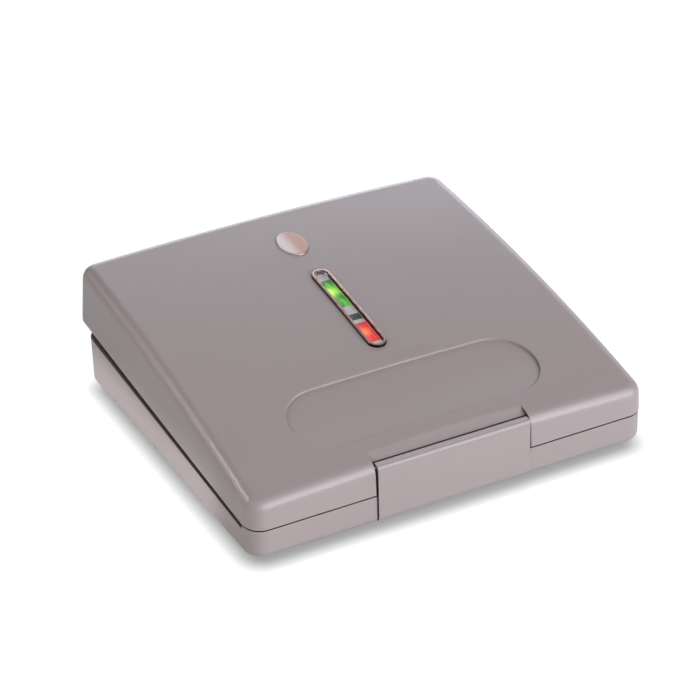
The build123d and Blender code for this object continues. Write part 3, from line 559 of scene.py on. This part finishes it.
def dress_badge_and_window():
    """The oval badge, and the signal window with its lamps."""
    give(rose_disc("rose_disc", "badge_disc"), "badge_disc")
    give(rose_bezel("rose_trim", "lamp_bezel"), "lamp_bezel")
    give(clear_plastic("clear_window"), "lamp_lens")
    give(holder_with_painted_glow("holder_plastic", HOLDER_RGB, glow=0.25), "lamp_holder")
    give(moulded_plastic("divider_plastic", DIVIDER_RGB, roughness=0.4, grain_mm=0.8, grain_depth_mm=0.02),
         "lamp_divider")
    give(lamp_glass("lamp_glass"), "green_lamp", "red_lamp")
    give(filter_with_painted_glow("green_window", "green_filter", GREEN_RGB, GREEN_GLOW_RGB, GREEN_SPOT,
                    spot_reach_mm=6.0, glow=1.0), "green_filter")
    give(filter_with_painted_glow("red_window", "red_filter", RED_RGB, RED_GLOW_RGB, RED_SPOT,
                    spot_reach_mm=5.0, glow=0.8, clear_end_mm=3.2), "red_filter")


# ---- studio: floor, light tent and lamps ----

FLOOR_REACH = 6.0
FLOOR_WHITE = 0.86
CAMERA_FLOOR_MATT = 0.12    # the part of the floor's white, for the camera, that shadows fall on
CAMERA_FLOOR_LIFT = 0.95    # and the even part
CONTACT_REACH_MM = 9.0      # how far the painted contact shade reaches from the object into the even part
CONTACT_LOW = 0.4           # share of open sky at which the painted contact shade is darkest
CONTACT_DARK = 0.3          # what it leaves there
CONTACT_SAMPLES = 16

PLAIN_LIGHT = (1.0, 1.0, 1.0)
COOL_LIGHT = (1.0, 1.05, 1.17)
EVEN_LIGHT = 0.064          # from all round

# soft lobes of the tent: azimuth, elevation, sharpness and strength
PLAIN_LOBES = (
    (100, 15, 6, 0.12),     # right
    (280, 10, 10, 0.25),    # left
    (225, 25, 8, 0.78),     # front left
)
COOL_LOBES = (
    (27, 25, 12, 1.25),     # back right, where the top mirrors it to the camera
    (30, 5, 14, 3.3),       # back right, near the horizon
    (155, 8, 6, 3.95),      # front, low
)


def make_floor():
    """Pale floor: white to the camera, except for the object's shadow and a soft painted contact shade."""
    square = [(x * FLOOR_REACH, y * FLOOR_REACH, 0.0) for x, y in ((-1, -1), (1, -1), (1, 1), (-1, 1))]
    mesh = bpy.data.meshes.new("floor")
    mesh.from_pydata(square, [], [(0, 1, 2, 3)])
    floor = bpy.data.objects.new("floor", mesh)
    bpy.context.collection.objects.link(floor)
    material = bpy.data.materials.new("floor_white")
    material.use_nodes = True
    nodes = Nodes(material.node_tree)
    nodes.tree.nodes.clear()
    matt = nodes.add("ShaderNodeBsdfDiffuse", Color=grey(FLOOR_WHITE))
    seen_matt = nodes.add("ShaderNodeBsdfDiffuse", Color=grey(CAMERA_FLOOR_MATT))
    # painted contact shade: an occlusion node darkens the floor's even glow near the object
    near = nodes.add("ShaderNodeAmbientOcclusion", Distance=CONTACT_REACH_MM * MM)
    near.samples = CONTACT_SAMPLES
    even = nodes.add("ShaderNodeMapRange", Value=near.outputs["AO"], From_Min=CONTACT_LOW,
                     To_Min=CONTACT_DARK, To_Max=CAMERA_FLOOR_LIFT)
    glow = nodes.add("ShaderNodeEmission", Strength=even.outputs["Result"])
    seen = nodes.both(seen_matt.outputs["BSDF"], glow.outputs["Emission"])
    nodes.by_ray(nodes.add("ShaderNodeOutputMaterial"), seen, matt.outputs["BSDF"])
    mesh.materials.append(material)


def tent_light(nodes, colour, even, lobes):
    """World light of one colour: even all round, and stronger in soft lobes."""
    way = nodes.add("ShaderNodeTexCoord").outputs["Generated"]
    strength = even
    for azimuth, elevation, sharpness, peak in lobes:
        along = nodes.vector_math("DOT_PRODUCT", way, toward(azimuth, elevation))
        lobe = nodes.math("POWER", nodes.math("MAXIMUM", along), sharpness)
        strength = nodes.math("ADD", strength, nodes.math("MULTIPLY", lobe, peak))
    light = nodes.add("ShaderNodeBackground", Color=rgba(colour), Strength=strength)
    return light.outputs["Background"]


def make_world():
    """White to the camera, and a tent of soft light to the object."""
    world = bpy.data.worlds.new("studio")
    bpy.context.scene.world = world
    world.use_nodes = True
    nodes = Nodes(world.node_tree)
    nodes.tree.nodes.clear()
    plain = tent_light(nodes, PLAIN_LIGHT, EVEN_LIGHT, PLAIN_LOBES)
    cool = tent_light(nodes, COOL_LIGHT, 0.0, COOL_LOBES)
    white = nodes.add("ShaderNodeBackground", Color=grey(1.0))
    nodes.by_ray(nodes.add("ShaderNodeOutputWorld"), white.outputs["Background"], nodes.both(plain, cool))


def softbox(name, aim, azimuth, elevation, away, size, watts, colour=PLAIN_LIGHT, spread=180.0):
    """Rectangular lamp that the camera doesn't see, this far away from the point it aims at."""
    data = bpy.data.lights.new(name, "AREA")
    data.color = colour
    data.shape = "RECTANGLE"
    data.size, data.size_y = size
    data.energy = watts
    data.spread = math.radians(spread)
    lamp = bpy.data.objects.new(name, data)
    bpy.context.collection.objects.link(lamp)
    way = toward(azimuth, elevation)
    lamp.location = aim + away * way
    lamp.rotation_mode = "QUATERNION"
    lamp.rotation_quaternion = (-way).to_track_quat("-Z", "Y")
    lamp.visible_camera = False


def make_lights():
    """A broad lamp on the left and one at the front, a small one for the gleam on the lid's front
    left corner, and a thin strip that lights the base's left side under the lid."""
    middle = point_of_box(0.5, 0.5, 0.42)
    corner = point_of_box(0.045, 0.045, 0.635)
    left_side = point_of_box(0.5, 0.684, 0.1975)
    softbox("edge_light", middle, azimuth=305, elevation=31, away=1.4, size=(1.1, 0.9), watts=5.4)
    softbox("corner_light", corner, azimuth=306, elevation=42, away=0.8, size=(0.12, 0.12),
            watts=0.03, spread=30.0)
    softbox("front_panel", middle, azimuth=155, elevation=24, away=1.3, size=(1.6, 1.1),
            watts=10.4, colour=COOL_LIGHT)
    softbox("side_strip", left_side, azimuth=270, elevation=0, away=0.185, size=(0.22, 0.012),
            watts=0.0142, colour=COOL_LIGHT, spread=36.0)


make_camera()
make_world()
make_lights()
make_floor()
dress_housing()
dress_cooking_parts()
dress_fasteners()
dress_badge_and_window()

bpy.context.scene.view_settings.view_transform = "Standard"
